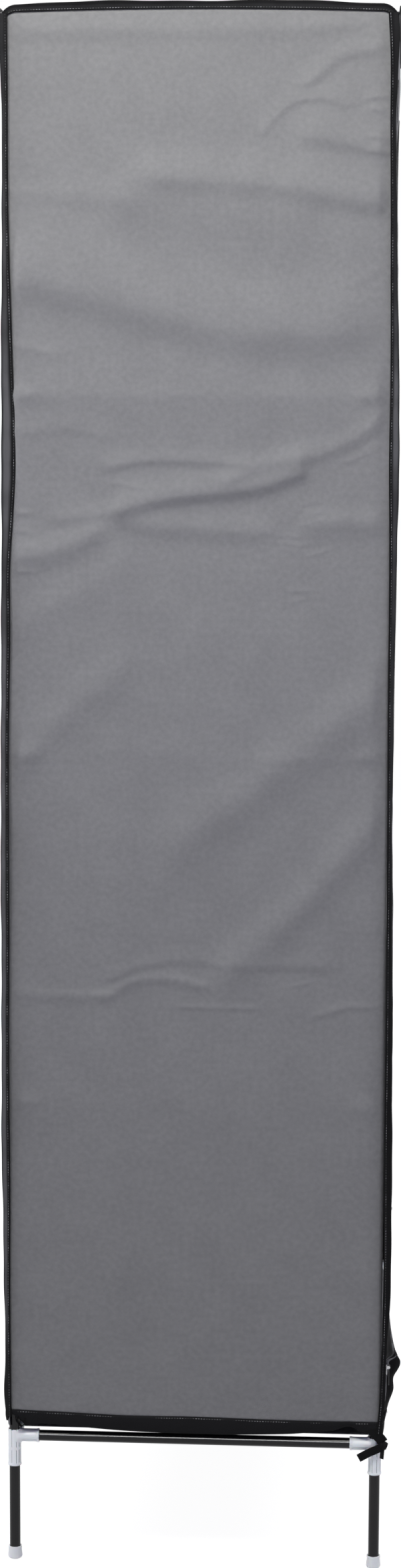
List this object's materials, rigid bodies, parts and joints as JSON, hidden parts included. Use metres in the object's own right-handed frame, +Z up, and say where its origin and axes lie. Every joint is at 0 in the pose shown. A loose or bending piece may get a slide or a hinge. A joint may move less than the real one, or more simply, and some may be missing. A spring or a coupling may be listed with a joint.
{
  "type": "portable fabric wardrobe",
  "caption": "Portable wardrobe with a steel tube frame in moulded sockets under a zipped cloth cover; hanging rod, two cloth shelves, door that rolls up.",
  "frame": {"origin": "on the floor, under the middle of the wardrobe", "axes": "+Z up, the doorway and its zips face -Y, the end that the picture shows faces -X"},
  "size_m": [0.7284, 0.452, 1.782],
  "materials": {
    "steel_tube": "black enamel, semi-gloss",
    "socket_plastic": "moulded white plastic, slightly grey",
    "cover_cloth": "grey non-woven cloth with a fine embossed grain",
    "shelf_cloth": "grey non-woven cloth, two layers",
    "black_tape": "black binding tape and ribbon",
    "zip_metal": "plated die casting"
  },
  "bodies": {
    "wardrobe": {"foot_cap_front_left": "socket_plastic", "leg_tube_front_left": "steel_tube", "bottom_connector_front_left": "socket_plastic", "upright_lower_front_left": "steel_tube", "upright_upper_front_left": "steel_tube", "top_connector_front_left": "socket_plastic", "foot_cap_back_left": "socket_plastic", "leg_tube_back_left": "steel_tube", "bottom_connector_back_left": "socket_plastic", "upright_lower_back_left": "steel_tube", "upright_upper_back_left": "steel_tube", "top_connector_back_left": "socket_plastic", "bottom_depth_rail_left": "steel_tube", "top_depth_rail_left": "steel_tube", "shelf_rung_left": "socket_plastic", "middle_rung_left": "socket_plastic", "upper_rung_left": "socket_plastic", "rod_hanger_left": "socket_plastic", "foot_cap_front_right": "socket_plastic", "leg_tube_front_right": "steel_tube", "bottom_connector_front_right": "socket_plastic", "upright_lower_front_right": "steel_tube", "upright_upper_front_right": "steel_tube", "top_connector_front_right": "socket_plastic", "foot_cap_back_right": "socket_plastic", "leg_tube_back_right": "steel_tube", "bottom_connector_back_right": "socket_plastic", "upright_lower_back_right": "steel_tube", "upright_upper_back_right": "steel_tube", "top_connector_back_right": "socket_plastic", "bottom_depth_rail_right": "steel_tube", "top_depth_rail_right": "steel_tube", "shelf_rung_right": "socket_plastic", "middle_rung_right": "socket_plastic", "upper_rung_right": "socket_plastic", "rod_hanger_right": "socket_plastic", "bottom_width_rail_front": "steel_tube", "shelf_width_rail_front": "steel_tube", "top_width_rail_front": "steel_tube", "bottom_width_rail_back": "steel_tube", "shelf_width_rail_back": "steel_tube", "top_width_rail_back": "steel_tube", "hanging_rod": "steel_tube", "lower_shelf_cloth": "shelf_cloth", "upper_shelf_cloth": "shelf_cloth", "end_panel_left": "cover_cloth", "front_strip_left": "cover_cloth", "corner_tie_left": "black_tape", "end_panel_right": "cover_cloth", "front_strip_right": "cover_cloth", "corner_tie_right": "black_tape", "back_panel": "cover_cloth", "top_panel": "cover_cloth", "front_header": "cover_cloth", "door_panel": "cover_cloth"},
    "rolling_door": {"door_hem": "black_tape"},
    "slider_left": {"zip_slider_left": "zip_metal"},
    "pull_left": {"pull_tab_left": "zip_metal"},
    "slider_right": {"zip_slider_right": "zip_metal"},
    "pull_right": {"pull_tab_right": "zip_metal"}
  },
  "joints": [
    {"name": "door_roll", "type": "slide", "parent": "wardrobe", "child": "rolling_door", "axis": [0, 0, 1], "range_m": [0, 1.4], "deforming": ["door_panel"]},
    {"name": "slider_left_slide", "type": "slide", "parent": "wardrobe", "child": "slider_left", "axis": [0, 0, 1], "range_m": [0, 1.4]},
    {"name": "pull_left_swing", "type": "hinge", "parent": "slider_left", "child": "pull_left", "pos_m": [-0.333, -0.2252, 0.2373], "axis": [-1, 0, 0], "range_deg": [0, 150]},
    {"name": "slider_right_slide", "type": "slide", "parent": "wardrobe", "child": "slider_right", "axis": [0, 0, 1], "range_m": [0, 1.4]},
    {"name": "pull_right_swing", "type": "hinge", "parent": "slider_right", "child": "pull_right", "pos_m": [0.333, -0.2252, 0.2373], "axis": [-1, 0, 0], "range_deg": [0, 150]}
  ],
  "couplings": [
    {"joint": "slider_left_slide", "follows": "door_roll", "ratio": 1},
    {"joint": "slider_right_slide", "follows": "door_roll", "ratio": 1}
  ]
}
